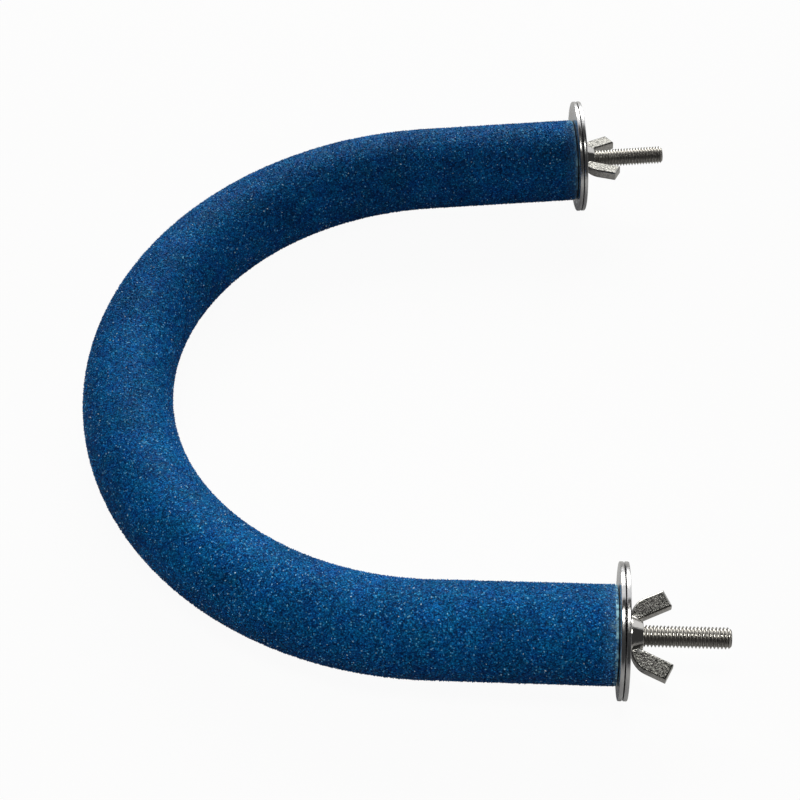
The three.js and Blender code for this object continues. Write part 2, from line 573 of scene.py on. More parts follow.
class Surface(Graph):
    """A new material's graph, with one plain surface shader."""

    def __init__(self, name: str) -> None:
        """Starts the material.

        Args:
            name: The material's name.
        """
        self.material = bpy.data.materials.new(name)
        self.material.use_nodes = True
        super().__init__(self.material.node_tree)
        self.shader = self.tree.nodes["Principled BSDF"]

    @cached_property
    def place(self) -> NodeSocket:
        """The place on the piece, in the object's coordinates."""
        return self.add("ShaderNodeTexCoord").outputs["Object"]

    def set(self, **sockets: object) -> None:
        """Feeds the shader's sockets by name, with _ for a space."""
        self.feed_named(self.shader, sockets)

    def effect(self, group: NodeTree, **sockets: object) -> NodeOutputs:
        """Lays a shared effect on the piece and returns its outputs."""
        return self.add("ShaderNodeGroup", {"node_tree": group}, Place=self.place, **sockets).outputs

    def bump(self, height: object, distance: float, strength: float) -> None:
        """Raises the surface by a height, over a distance in metres."""
        bump = self.add("ShaderNodeBump", Strength=strength, Distance=distance, Height=height)
        self.set(Normal=bump.outputs[0])


def new_group(
    name: str,
    inputs: dict[str, str],
    outputs: dict[str, str],
) -> tuple[Graph, NodeOutputs, NodeInputs]:
    """Starts a shader node group.

    Args:
        name: The group's name.
        inputs: Its input sockets, by name, with their kinds.
        outputs: Its output sockets, likewise.

    Returns:
        The group's graph, what is put in and what goes out.
    """
    tree = bpy.data.node_groups.new(name, "ShaderNodeTree")
    for way, sockets in (("INPUT", inputs), ("OUTPUT", outputs)):
        for label, kind in sockets.items():
            tree.interface.new_socket(label, in_out=way, socket_type=f"NodeSocket{kind}")
    graph = Graph(tree)
    return graph, graph.add("NodeGroupInput").outputs, graph.add("NodeGroupOutput").inputs


@dataclass(frozen=True)
class SandTone:
    """Colour and roughness of dyed sand, from a number that is drawn for each grain; the palest few grains
    are painted glints.
    """

    dyes: Stops = (
        (0.0, (0.0010, 0.037, 0.145)),
        (0.30, (0.0016, 0.072, 0.260)),
        (0.62, (0.0030, 0.122, 0.400)),
        (0.88, (0.0060, 0.192, 0.550)),
        (0.965, (0.0200, 0.270, 0.650)),
        # the palest stop is a painted highlight: near-white grains that stand in for glints
        (0.992, (0.1600, 0.470, 0.800)),
    )
    worn: Colour = (0.38, 0.71, 0.85)
    hue: Patches = Patches(0.3, 0.7, 0.492, 0.506, scale=240.0, detail=1.0)
    depth: Patches = Patches(0.3, 0.7, 0.80, 1.22, scale=70.0)
    roughness: Patches = Patches(0.3, 0.7, 0.78, 0.38, scale=900.0, detail=1.0)

    def group(self) -> NodeTree:
        """Builds the effect.

        Returns:
            The group, with the grain's number, its place and its wear as inputs.
        """
        graph, given, result = new_group(
            "sand_tone",
            {"Draw": "Float", "Place": "Vector", "Wear": "Float"},
            {"Colour": "Color", "Roughness": "Float"},
        )
        place = given["Place"]
        varied = graph.add(
            "ShaderNodeHueSaturation",
            Hue=self.hue.on(graph, place),
            Value=self.depth.on(graph, place),
            Color=graph.ramp(given["Draw"], self.dyes),
        )
        graph.feed(result["Colour"], graph.mix(given["Wear"], varied.outputs[0], self.worn))
        graph.feed(result["Roughness"], self.roughness.on(graph, place))
        return graph.tree


@dataclass(frozen=True)
class PlatingMarks:
    """Tarnish, pits and hairlines on a smooth surface, with their scales as shares of its fineness."""

    tarnish: Patches = Patches(0.32, 0.68, scale=0.16, detail=3.0, roughness=0.6)
    pits: Patches = Patches(0.30, 0.70, scale=1.0, detail=3.0, roughness=0.65)
    hairlines: Patches = Patches(0.58, 0.72, scale=2.2)
    hairline_stretch: Triple = (0.05, 1.0, 1.0)
    hairline_slant: Triple = (0.3, 0.2, 0.9)

    def group(self) -> NodeTree:
        """Builds the effect.

        Returns:
            The group, with the place and the fineness of the marks as inputs.
        """
        graph, given, result = new_group(
            "plating_marks",
            {"Place": "Vector", "Fineness": "Float"},
            {"Tarnish": "Float", "Pits": "Float", "Hairlines": "Float"},
        )
        place, fine = given["Place"], given["Fineness"]
        shape = {"Scale": self.hairline_stretch, "Rotation": self.hairline_slant}
        drawn_out = graph.add("ShaderNodeMapping", None, (place,), **shape).outputs[0]
        graph.feed(result["Tarnish"], self.tarnish.on(graph, place, fine))
        graph.feed(result["Pits"], self.pits.on(graph, place, fine))
        graph.feed(result["Hairlines"], self.hairlines.on(graph, drawn_out, fine))
        return graph.tree


class SharedEffects:
    """The node groups that more than one finish uses, each made once."""

    def __init__(self) -> None:
        """Makes the groups."""
        self.sand_tone = SandTone().group()
        self.plating_marks = PlatingMarks().group()


# Finishes


@dataclass(frozen=True)
class Finish(ABC):
    """A named finish, which dresses a new material by its own values."""

    name: str

    def material(self, effects: SharedEffects) -> Material:
        """Builds the material.

        Args:
            effects: The shared node groups.

        Returns:
            The material.
        """
        surface = Surface(self.name)
        self.dress(surface, effects)
        return surface.material

    @abstractmethod
    def dress(self, surface: Surface, effects: SharedEffects) -> None:
        """Feeds the surface shader.

        Args:
            surface: The new material's graph.
            effects: The shared node groups.
        """


@dataclass(frozen=True)
class CoatFinish(Finish):
    """The resin-bound sand that lies under the loose-standing grains."""

    name: str = "sand_bed"
    grain_size: float = 0.44 * MM
    # painted shade: colour from full at a cell's middle down to 0.35 at its edge
    hollows: Span = Span(0.25, 0.75, 1.0, 0.35)
    shine: float = 0.035
    relief: float = 0.12 * MM
    relief_strength: float = 0.9
    ragged: Patches = Patches(0.3, 0.7, -0.10, 0.10, scale=700.0)
    rim_line: Span = Span(0.36, 0.52)
    bare: Patches = Patches(0.38, 0.6, 0.45, scale=260.0)
    broken: Patches = Patches(0.40, 0.52, 0.2, scale=1000.0)
    blotches: Patches = Patches(0.46, 0.64, scale=190.0, detail=3.0, roughness=0.7)

    def dress(self, surface: Surface, effects: SharedEffects) -> None:
        """Lays cells of dyed sand, the palest few as painted glints, with painted shade that darkens the gaps
        between them.

        Args:
            surface: The new material's graph.
            effects: The shared node groups.
        """
        scale = 1 / self.grain_size
        cells = surface.add("ShaderNodeTexVoronoi", Vector=surface.place, Scale=scale).outputs
        draw = surface.add("ShaderNodeSeparateColor", Color=cells["Color"]).outputs[0]
        wear = self._wear(surface)
        tone = surface.effect(effects.sand_tone, Draw=draw, Wear=wear)
        # painted shade between the cells, lifted where the sand is worn pale
        hollows = surface.math("MAXIMUM", self.hollows.of(surface, cells["Distance"]), wear)
        surface.set(
            Base_Color=surface.mix(1.0, tone["Colour"], hollows, "MULTIPLY"),
            Roughness=tone["Roughness"],
            Specular_IOR_Level=self.shine,
        )
        height = surface.math("SUBTRACT", 1.0, cells["Distance"])
        surface.bump(height, self.relief, self.relief_strength)

    def _wear(self, surface: Surface) -> NodeSocket:
        """Finds where the sand is pale: a broken line on the cut edge, blotches by it and a haze.

        Args:
            surface: The new material's graph.

        Returns:
            The wear, from 0 to 1.
        """
        edge = surface.stored(Layer.CUT_EDGE)
        ragged = surface.math("ADD", edge, self.ragged.on(surface, surface.place))
        line = surface.math(
            "MULTIPLY",
            self.rim_line.of(surface, ragged),
            self.bare.on(surface, surface.place),
            self.broken.on(surface, surface.place),
            surface.stored(Layer.RIM_WEAR),
        )
        blotches = surface.math("MULTIPLY", edge, self.blotches.on(surface, surface.place))
        return surface.math("MAXIMUM", line, blotches, surface.stored(Layer.END_HAZE))


@dataclass(frozen=True)
class GrainFinish(Finish):
    """The standing sand grains, whose number and wear are stored on the mesh."""

    name: str = "sand_grains"
    shine: float = 0.05
    roughness_share: float = 0.8

    def dress(self, surface: Surface, effects: SharedEffects) -> None:
        """Dyes each grain by its number, the palest few as painted glints.

        Args:
            surface: The new material's graph.
            effects: The shared node groups.
        """
        draw = surface.stored(Layer.GRAIN_DRAW)
        tone = surface.effect(effects.sand_tone, Draw=draw, Wear=surface.stored(Layer.GRAIN_WEAR))
        surface.set(
            Base_Color=tone["Colour"],
            Roughness=surface.math("MULTIPLY", tone["Roughness"], self.roughness_share),
            Specular_IOR_Level=self.shine,
        )


@dataclass(frozen=True)
class CrystalFinish(Finish):
    """The few undyed crystals among the sand, pale and glassy."""

    name: str = "clear_crystals"
    shine: float = 0.6
    roughness: Span = Span(0.0, 1.0, 0.3, 0.12)
    tones: Stops = (
        (0.0, (0.03, 0.20, 0.50)),
        (0.5, (0.14, 0.38, 0.66)),
        (0.85, (0.40, 0.64, 0.85)),
        (1.0, (0.70, 0.84, 0.95)),
    )

    def dress(self, surface: Surface, effects: SharedEffects) -> None:
        """Tones each crystal by its number.

        Args:
            surface: The new material's graph.
            effects: The shared node groups; not used.
        """
        draw = surface.stored(Layer.GRAIN_DRAW)
        surface.set(
            Base_Color=surface.ramp(draw, self.tones),
            Roughness=self.roughness.of(surface, draw),
            Specular_IOR_Level=self.shine,
        )


@dataclass(frozen=True)
class SteelFinish(Finish):
    """Plated steel: bright where it is rubbed, duller where it is tarnished or pitted."""

    bright: Colour
    dull: Colour
    roughness: Span
    fineness: float
    relief: float
    wear_layer: Layer
    speckle: float = 0.4
    mark_share: float = 0.6
    grime_share: float = 0.7
    scratch_share: float = 0.5
    scratch_roughness: float = 0.08
    rubbed_relief: float = 0.3
    relief_strength: float = 0.5

    def dress(self, surface: Surface, effects: SharedEffects) -> None:
        """Dulls and roughens the plating by its marks and its stored wear.

        Args:
            surface: The new material's graph.
            effects: The shared node groups.
        """
        marks = surface.effect(effects.plating_marks, Fineness=self.fineness)
        worn = surface.stored(self.wear_layer)
        dullness = surface.math(
            "ADD",
            surface.math("MULTIPLY", marks["Tarnish"], self.mark_share * (1 - self.speckle)),
            surface.math("MULTIPLY", marks["Pits"], self.mark_share * self.speckle),
            surface.math("MULTIPLY", worn, self.grime_share),
        )
        scratched = surface.math("MULTIPLY", marks["Hairlines"], self.scratch_roughness)
        surface.set(
            Base_Color=surface.mix(dullness, self.bright, self.dull),
            Roughness=surface.math("ADD", self.roughness.of(surface, dullness), scratched),
            Metallic=1.0,
        )
        scratches = surface.math("MULTIPLY", marks["Hairlines"], self.scratch_share)
        height = surface.math("SUBTRACT", marks["Pits"], scratches)
        kept = Span(0.0, 1.0, self.rubbed_relief).of(surface, worn)
        surface.bump(surface.math("MULTIPLY", height, kept), self.relief, self.relief_strength)


@dataclass(frozen=True)
class PipeFinish(Finish):
    """White extruded pipe, a little yellowed and scuffed."""

    name: str = "white_pipe"
    clean: Colour = (0.80, 0.80, 0.77)
    yellowed: Colour = (0.66, 0.66, 0.60)
    roughness: Span = Span(0.0, 1.0, 0.42, 0.6)
    fineness: float = 700.0

    def dress(self, surface: Surface, effects: SharedEffects) -> None:
        """Yellows and scuffs the pipe in patches.

        Args:
            surface: The new material's graph.
            effects: The shared node groups.
        """
        marks = surface.effect(effects.plating_marks, Fineness=self.fineness)
        surface.set(
            Base_Color=surface.mix(marks["Tarnish"], self.clean, self.yellowed),
            Roughness=self.roughness.of(surface, marks["Pits"]),
        )


@dataclass(frozen=True)
class WoodFinish(Finish):
    """Turned hardwood, with its grain along the plug."""

    name: str = "plug_dowel"
    stretch: Triple = (0.08, 1.0, 1.0)
    rings: Patches = Patches(0.0, 1.0, scale=900.0, detail=4.0, roughness=0.6)
    tones: Stops = (
        (0.3, (0.30, 0.17, 0.07)),
        (0.55, (0.52, 0.34, 0.16)),
        (0.75, (0.62, 0.44, 0.24)),
    )
    roughness: Span = Span(0.3, 0.7, 0.75, 0.6)
    relief: float = 0.1 * MM
    relief_strength: float = 0.4

    def dress(self, surface: Surface, effects: SharedEffects) -> None:
        """Draws the rings out along the plug.

        Args:
            surface: The new material's graph.
            effects: The shared node groups; not used.
        """
        drawn_out = surface.add("ShaderNodeMapping", None, (surface.place,), Scale=self.stretch)
        rings = self.rings.on(surface, drawn_out.outputs[0])
        surface.set(Base_Color=surface.ramp(rings, self.tones), Roughness=self.roughness.of(surface, rings))
        surface.bump(rings, self.relief, self.relief_strength)


# Layout


@dataclass(frozen=True)
class EndFrame:
    """Where one leg ends: the middles of its cut face and its washers, its stud's line and the way up."""

    side: Side
    cut_end: Vector
    washer_centre: Vector
    axis: Vector
    up: Vector

    def _at(self, place: Vector) -> Matrix:
        """Placement that turns +Z onto the stud's line and +X upwards."""
        axes = Matrix((self.up, self.axis.cross(self.up), self.axis)).transposed()
        return Matrix.Translation(place) @ axes.to_4x4()

    def on_stud(self, along: float, turn: float = 0.0) -> Matrix:
        """Placement on the stud's line of a piece that was modelled about +Z.

        Args:
            along: Its distance from the cut end.
            turn: Its turn from up towards +Y, in degrees.

        Returns:
            The placement.
        """
        spun = Matrix.Rotation(-math.radians(turn), 4, "Z")
        return self._at(self.cut_end + along * self.axis) @ spun

    def on_washer(self, along: float) -> Matrix:
        """Placement of a washer, off the stud's line, at a distance from the inner washer's."""
        return self._at(self.washer_centre + along * self.axis)


@dataclass(frozen=True)
class PerchLayout:
    """The bent pipe's centre line and both of its ends, in the row frame."""

    bend_centre: Vector
    forward: Vector
    across: Vector
    up: Vector
    ends: dict[Side, EndFrame]
    toe_out: float
    bend_radius: float = 99.5 * MM
    leg_length: float = 51.4 * MM
    nut_seat: float = 3.15 * MM
    haze: float = 0.10
    haze_reach: float = 5.0 * MM
    rub_angle: float = 65.0
    rub_reach: float = 3.0 * MM
    full_wear: float = 0.5 * MM

    @classmethod
    def from_frame(cls, frame: dict) -> PerchLayout:
        """Works the layout out from the frame's joints.


        Returns:
            The layout.
        """
        joints = {joint["name"]: joint for joint in frame["joints"]}
        axes = {side: Vector(joints[f"{side.word}_nut_turn"]["axis"]).normalized() for side in Side}
        forward = (axes[Side.LEFT] + axes[Side.RIGHT]).normalized()
        across = Vector((0, 1, 0))
        up = forward.cross(across)
        toe_out = axes[Side.LEFT].angle(forward)
        ends = {}
        for side in Side:
            seat = Vector(joints[f"{side.word}_nut_turn"]["pos_m"])
            washer = Vector(joints[f"{side.word}_inner_washer_turn"]["pos_m"])
            ends[side] = EndFrame(side, seat - cls.nut_seat * axes[side], washer, axes[side], up)
        reach = cls.leg_length * math.cos(toe_out) - cls.bend_radius * math.sin(toe_out)
        middle = (ends[Side.LEFT].cut_end + ends[Side.RIGHT].cut_end) / 2
        return cls(middle - reach * forward, forward, across, up, ends, toe_out)

    @property
    def sweep(self) -> float:
        """The angle that the bend turns through."""
        return math.pi - 2 * self.toe_out

    @property
    def half_length(self) -> float:
        """The length of the pipe's centre line from the middle of the bend to a cut end."""
        return self.sweep / 2 * self.bend_radius + self.leg_length

    @property
    def axes(self) -> Matrix:
        """The perch's own axes as columns: forward, across and up."""
        return Matrix((self.forward, self.across, self.up)).transposed()

    def at(self, place: Vector) -> Vector:
        """A place in the row frame, from forward, across and up distances from the bend's centre."""
        return self.bend_centre + self.axes @ place

    def own(self, points: np.ndarray) -> np.ndarray:
        """Points as rows of forward, across and up distances from the bend's centre."""
        return ((points - np.array(self.bend_centre)) @ np.array(self.axes)).T

    def along_pipe(self, points: np.ndarray) -> tuple[np.ndarray, np.ndarray]:
        """Where points lie along the pipe and how far from its centre line.

        Args:
            points: Places in the row frame, one in each row.

        Returns:
            Each point's distance from the nearest cut end, along the pipe, and from the centre line.
        """
        forward, across, up = self.own(points)
        angle = np.arctan2(np.abs(across), -forward)
        half = self.sweep / 2
        along_leg = forward * math.cos(self.toe_out) + np.abs(across) * math.sin(self.toe_out)
        on_leg = np.where(angle > half, np.maximum(along_leg, 0.0), 0.0)
        to_end = self.half_length - np.minimum(angle, half) * self.bend_radius - on_leg
        return to_end, np.hypot(self.outwards(points), up)

    def outwards(self, points: np.ndarray) -> np.ndarray:
        """How far points lie outside the pipe's centre line, in the perch's own plane.

        Args:
            points: Places in the row frame, one in each row.

        Returns:
            The distance of each point, less than 0 inside the U.
        """
        forward, across, _ = self.own(points)
        on_leg = np.arctan2(np.abs(across), -forward) > self.sweep / 2
        from_leg = np.abs(across) * math.cos(self.toe_out) - forward * math.sin(self.toe_out)
        return np.where(on_leg, from_leg, np.hypot(forward, across)) - self.bend_radius

    def round_pipe(self, side: Side, along: np.ndarray, turn: np.ndarray, radius: float) -> np.ndarray:
        """Places on a round skin about one half of the centre line.

        Args:
            side: The half of the perch.
            along: The distance of each place from the middle of the bend, along the pipe.
            turn: Its angle round the pipe.
            radius: The skin's radius.

        Returns:
            The places in the row frame, one in each row.
        """
        angle = np.minimum(along / self.bend_radius, self.sweep / 2)
        straight = along - angle * self.bend_radius
        outwards = self.bend_radius + radius * np.cos(turn)
        forward = straight * np.sin(angle) - outwards * np.cos(angle)
        across = side.value * (straight * np.cos(angle) + outwards * np.sin(angle))
        own = np.stack((forward, across, radius * np.sin(turn)), axis=1)
        return own @ np.array(self.axes).T + np.array(self.bend_centre)

    def end_wear(self, points: np.ndarray) -> tuple[np.ndarray, np.ndarray]:
        """How pale the sand is towards the cut ends, and where a thumb has rubbed it.

        Args:
            points: Places in the row frame, one in each row.

        Returns:
            The haze at each point, and the rub mark, which is 1 in the middle of a spot by each cut end.
        """
        to_end, radius = self.along_pipe(points)
        rubbed = np.zeros(len(points))
        slope = math.radians(self.rub_angle)
        for end in self.ends.values():
            outwards = end.side.value * end.up.cross(end.axis)
            way = math.cos(slope) * outwards + math.sin(slope) * end.up
            spot = np.array(end.cut_end + float(radius.max()) * way)
            to_spot = np.linalg.norm(points - spot, axis=1)
            rubbed = np.maximum(rubbed, fade(to_spot, self.full_wear, self.rub_reach))
        return self.haze * fade(to_end, self.full_wear, self.haze_reach), rubbed


# Sub-assemblies


def finish_piece(
    piece: Object,
    material: Material,
    body: str,
    slot: Slot,
    node: str | None = None,
) -> None:
    """Dresses a piece and ties it to the frame.

    Args:
        piece: The finished mesh, in its place.
        material: Its finish.
        body: The CAD body that it moves with.
        slot: The record's slot for the piece; not used.
        node: The CAD node that it stands for, if it stands for one.
    """
    piece.data.materials.clear()
    piece.data.materials.append(material)
    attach(piece, body)
    if node:
        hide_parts(node)
    log.info("%s: %d faces on %s", piece.name, len(piece.data.polygons), body)


@dataclass
class BentPipe:
    """The PVC pipe and the sand coat on it, both swept along the same centre line."""

    layout: PerchLayout
    effects: SharedEffects
    pipe_radius: float = 12.5 * MM
    pipe_wall: float = 2.0 * MM
    pipe_sides: int = 48
    pipe_steps: int = 72
    pipe_crease: float = 40.0
    coat_radius: float = 13.75 * MM
    coat_bore: float = 12.8 * MM
    coat_sides: int = 112
    coat_steps: int = 384
    coat_crease: float = 60.0
    wall_steps_for_bore_step: int = 4
    long_edge: float = 0.9  # as a share of a leg
    edge_fade: float = 1.6 * MM
    rubbed_share: float = 0.6
    left_rim_wear: float = 0.45
    right_rim_wear: float = 1.0
    coat_lumps: Relief = Relief("coat_lumps", Lumps.SOFT, 14.0 * MM, 0.16 * MM)
    packed_sand: Relief = Relief("packed_sand", Lumps.PACKED, 0.95 * MM, -0.22 * MM)
    rim_chips: Relief = Relief("rim_chips", Lumps.SOFT, 2.2 * MM, -0.4 * MM, direction="X", level=0.0)
    map_margin: float = 0.01
    left_strip: float = 0.47  # where each strip of the map starts
    right_strip: float = 0.02
    bore_strip: float = 0.94
    wall_strip_height: float = 0.40
    bore_strip_height: float = 0.02

    @property
    def inside_coat(self) -> float:
        """The radius half-way through the coat, between its bore and its outer wall."""
        return (self.coat_bore + self.coat_radius) / 2

    def build(self) -> None:
        """Models the white pipe, then its coat: a fine mesh with slow lumps and packed grains in its wall."""
        bore = self.pipe_radius - self.pipe_wall
        core = self._swept("white_pipe_core", self.pipe_radius, bore, self.pipe_sides, self.pipe_steps)
        smooth(core, self.pipe_crease)
        material = PipeFinish().material(self.effects)
        finish_piece(core, material, Body.PERCH.value, Slot.WHITE_PVC, "pipe_core")
        coat = self._swept("sand_coat", self.coat_radius, self.coat_bore, self.coat_sides, self.coat_steps)
        self._refine_legs(coat)
        self._map(coat)
        self._roughen(coat)
        smooth(coat, self.coat_crease)
        material = CoatFinish().material(self.effects)
        finish_piece(coat, material, Body.PERCH.value, Slot.BLUE_SAND, "sand_coating")

    def _swept(self, name: str, outer: float, inner: float, sides: int, steps: int) -> Object:
        """Sweeps a pipe along the whole perch, out along its wall and back along its bore.

        Args:
            name: The pipe's name.
            outer: Its outer radius.
            inner: Its bore's radius.
            sides: The facets round it.
            steps: The rings along the bend.

        Returns:
            The closed pipe.
        """
        layout = self.layout
        first, last = layout.ends[Side.RIGHT], layout.ends[Side.LEFT]
        to_bend = -layout.leg_length * first.axis
        to_end = layout.leg_length * last.axis
        bend = {"center": layout.bend_centre, "axis": layout.up}
        pipe = primitive(bpy.ops.mesh.primitive_circle_add, name, vertices=sides, radius=outer)
        settle(pipe, first.on_stud(0.0))
        edit(pipe)
        bpy.ops.mesh.extrude_edges_move(TRANSFORM_OT_translate={"value": to_bend})
        bpy.ops.mesh.spin(steps=steps, angle=layout.sweep, **bend)
        bpy.ops.mesh.extrude_edges_move(TRANSFORM_OT_translate={"value": to_end})
        bpy.ops.mesh.extrude_edges_move()
        bpy.ops.transform.resize(value=(inner / outer,) * 3, center_override=last.cut_end)
        bpy.ops.mesh.extrude_edges_move(TRANSFORM_OT_translate={"value": -to_end})
        bpy.ops.mesh.spin(steps=steps // self.wall_steps_for_bore_step, angle=-layout.sweep, **bend)
        bpy.ops.mesh.extrude_edges_move(TRANSFORM_OT_translate={"value": -to_bend})
        bpy.ops.mesh.select_all(action="DESELECT")
        bpy.ops.mesh.select_non_manifold()
        bpy.ops.mesh.bridge_edge_loops()
        close_seams(pipe)
        return pipe

    def _refine_legs(self, coat: Object) -> None:
        """Cuts the legs' long outer faces into rings as close as the bend's.

        Args:
            coat: The coat, with one face from end to end of each leg.
        """
        layout = self.layout
        ring_step = layout.bend_radius * layout.sweep / self.coat_steps

        def long_and_outside(edge: bmesh.types.BMEdge) -> bool:
            """Whether an edge runs along a leg's outer wall."""
            long = edge.calc_length() >= self.long_edge * layout.leg_length
            return long and layout.along_pipe(np.array([edge.verts[0].co]))[1][0] > self.inside_coat

        pick(coat, Element.EDGE, long_and_outside)
        bpy.ops.mesh.subdivide(number_cuts=round(layout.leg_length / ring_step) - 1)
        start_afresh()

    def _map(self, coat: Object) -> None:
        """Unrolls the coat: a strip for each half's outer wall and cut face, and a narrow one for the bore.

        Args:
            coat: The coat, before it is roughened.
        """
        points = rows_of(coat)
        to_end, radius = self.layout.along_pipe(points)
        _, across, height = self.layout.own(points)
        wall = self.coat_radius - self.coat_bore
        sizes = [polygon.loop_total for polygon in coat.data.polygons]
        face = np.repeat(np.arange(len(sizes)), sizes)
        first = np.searchsorted(face, np.arange(len(sizes)))
        vertex = np.empty(len(face), np.int32)
        coat.data.loops.foreach_get("vertex_index", vertex)
        turn = np.arctan2(height, self.layout.outwards(points))[vertex] / FULL_TURN
        turn = turn - np.round(turn - turn[first][face])
        on_wall = radius[vertex] > self.inside_coat
        outer = np.maximum.reduceat(on_wall, first)[face]
        left = (np.add.reduceat(across[vertex], first) > 0)[face]
        along = np.where(outer & ~on_wall, 0.0, to_end[vertex] + wall) / (self.layout.half_length + wall)
        strip = np.where(outer, np.where(left, self.left_strip, self.right_strip), self.bore_strip)
        share = np.where(outer, self.wall_strip_height, self.bore_strip_height)
        along = self.map_margin + (1 - 2 * self.map_margin) * along
        lay_out(coat, np.stack((along, strip + share * (turn + 0.5)), axis=1))

    def _roughen(self, coat: Object) -> None:
        """Gives the outer wall its lumps and packed grains, chips its rim and leaves the rest plain.

        Args:
            coat: The coat.
        """
        points = rows_of(coat)
        to_end, radius = self.layout.along_pipe(points)
        haze, rubbed = self.layout.end_wear(points)
        _, across, _ = self.layout.own(points)
        paint(coat, Layer.CUT_EDGE, fade(to_end, 0.0, self.edge_fade))
        paint(coat, Layer.END_HAZE, np.maximum(haze, self.rubbed_share * rubbed))
        paint(coat, Layer.RIM_WEAR, np.where(across > 0, self.left_rim_wear, self.right_rim_wear))
        outside = radius > self.inside_coat
        at_end = to_end < TOUCHING
        self.coat_lumps.push(coat, outside & ~at_end)
        self.packed_sand.push(coat, outside & ~at_end)
        self.rim_chips.push(coat, outside & at_end)


@dataclass
class SandGrains:
    """Dyed grains that stand proud of the coat, scattered over one half of the perch at a time."""

    layout: PerchLayout
    effects: SharedEffects
    kind: str = "sand_grains"
    finish: Finish = GrainFinish()
    left_seed: int = 11
    right_seed: int = 29
    bed_radius: float = 13.72 * MM
    grain_radius: float = 0.33 * MM
    grain_knock: float = 0.3  # as a share of the radius
    smallest: float = 0.62
    largest: float = 1.18
    spacing: float = 0.50 * MM
    density: float = 2.7e6
    end_margin: float = 0.85 * MM
    worn_reach: float = 0.9 * MM
    worn_share: float = 0.5
    rubbed_share: float = 0.45
    worn_paleness: float = 0.85
    wear_shuffle: float = 7.31  # parts a grain's wear from its dye, as both come from one number
    skin_sides: int = 64
    skin_steps: int = 96
    map_facet: float = 0.4  # half of a facet's size in its cell of the map

    @cached_property
    def material(self) -> Material:
        """The material, made once for both halves."""
        return self.finish.material(self.effects)

    def build(self, side: Side) -> None:
        """Scatters the grains of one half.

        Args:
            side: The half of the perch.
        """
        seed = self.left_seed if side is Side.LEFT else self.right_seed
        grain = self._grain(seed)
        corners = len(grain.data.loops)
        grains = self._skin(side)
        modify(grains, "NODES", node_group=self._scatter(grain, seed))
        bpy.data.objects.remove(grain, do_unlink=True)
        self._wear(grains)
        self._map(grains, corners)
        finish_piece(grains, self.material, Body.PERCH.value, Slot.BLUE_SAND)

    def _grain(self, seed: int) -> Object:
        """Models one angular grain: a four-sided point, drawn down to a second one, with knocked corners.

        Args:
            seed: What the knocks are drawn from.

        Returns:
            The grain, about the origin.
        """
        radius = self.grain_radius
        grain = primitive(
            bpy.ops.mesh.primitive_cone_add,
            "one_grain",
            vertices=4,
            radius1=radius,
            radius2=0,
            depth=radius,
            end_fill_type="TRIFAN",
            location=(0, 0, radius / 2),
        )
        pick(grain, Element.VERT, lambda vertex: vertex.co.length < radius / 2)
        bpy.ops.transform.translate(value=(0, 0, -radius))
        bpy.ops.mesh.select_all(action="SELECT")
        bpy.ops.transform.vertex_random(offset=radius * self.grain_knock, seed=seed)
        bpy.ops.mesh.normals_make_consistent(inside=False)
        start_afresh()
        return grain

    def _skin(self, side: Side) -> Object:
        """Wraps a grid round one half of the pipe, as the surface that its grains are scattered on.

        The scatter draws by face number, and a grid numbers its faces alike each run.

        Args:
            side: The half of the perch.

        Returns:
            The open surface.
        """
        skin = primitive(
            bpy.ops.mesh.primitive_grid_add,
            f"{side.word}_{self.kind}",
            x_subdivisions=self.skin_steps,
            y_subdivisions=self.skin_sides,
            size=1,
        )
        grid = rows_of(skin) + 0.5
        along = (self.layout.half_length - self.end_margin) * grid[:, 0]
        places = self.layout.round_pipe(side, along, FULL_TURN * grid[:, 1], self.bed_radius)
        skin.data.vertices.foreach_set("co", places.astype(np.float32).ravel())
        skin.data.update()
        return skin

    def _scatter(self, grain: Object, seed: int) -> NodeTree:
        """Builds the scatter: points on the skin, a turned and sized grain on each, and a number for its dye.

        Args:
            grain: The grain to repeat.
            seed: What all is drawn from.

        Returns:
            The node tree.
        """
        tree = bpy.data.node_groups.new("grain_scatter", "GeometryNodeTree")
        for way in ("INPUT", "OUTPUT"):
            tree.interface.new_socket("Geometry", in_out=way, socket_type="NodeSocketGeometry")
        graph = Graph(tree)
        spread = graph.add(
            "GeometryNodeDistributePointsOnFaces",
            {"distribute_method": "POISSON"},
            Mesh=graph.add("NodeGroupInput").outputs[0],
            Distance_Min=self.spacing,
            Density_Max=self.density,
            Seed=seed,
        )
        vector = {"data_type": "FLOAT_VECTOR"}
        turns = ((0, 0, 0), (FULL_TURN,) * 3)
        sizes = ((self.smallest,) * 3, (self.largest,) * 3)
        placed = graph.add(
            "GeometryNodeInstanceOnPoints",
            Points=spread.outputs["Points"],
            Instance=graph.add("GeometryNodeObjectInfo", Object=grain).outputs["Geometry"],
            Rotation=graph.add("FunctionNodeRandomValue", vector, turns, Seed=seed + 1).outputs[0],
            Scale=graph.add("FunctionNodeRandomValue", vector, sizes, Seed=seed + 2).outputs[0],
        )
        draw = graph.add("FunctionNodeRandomValue", {"data_type": "FLOAT"}, Seed=seed + 3)
        numbered = graph.add(
            "GeometryNodeStoreNamedAttribute",
            {"domain": "INSTANCE", "data_type": "FLOAT"},
            Geometry=placed.outputs[0],
            Name=Layer.GRAIN_DRAW.value,
            Value=draw.outputs[1],
        )
        real = graph.add("GeometryNodeRealizeInstances", Geometry=numbered.outputs[0])
        graph.add("NodeGroupOutput", None, (real.outputs[0],))
        return tree

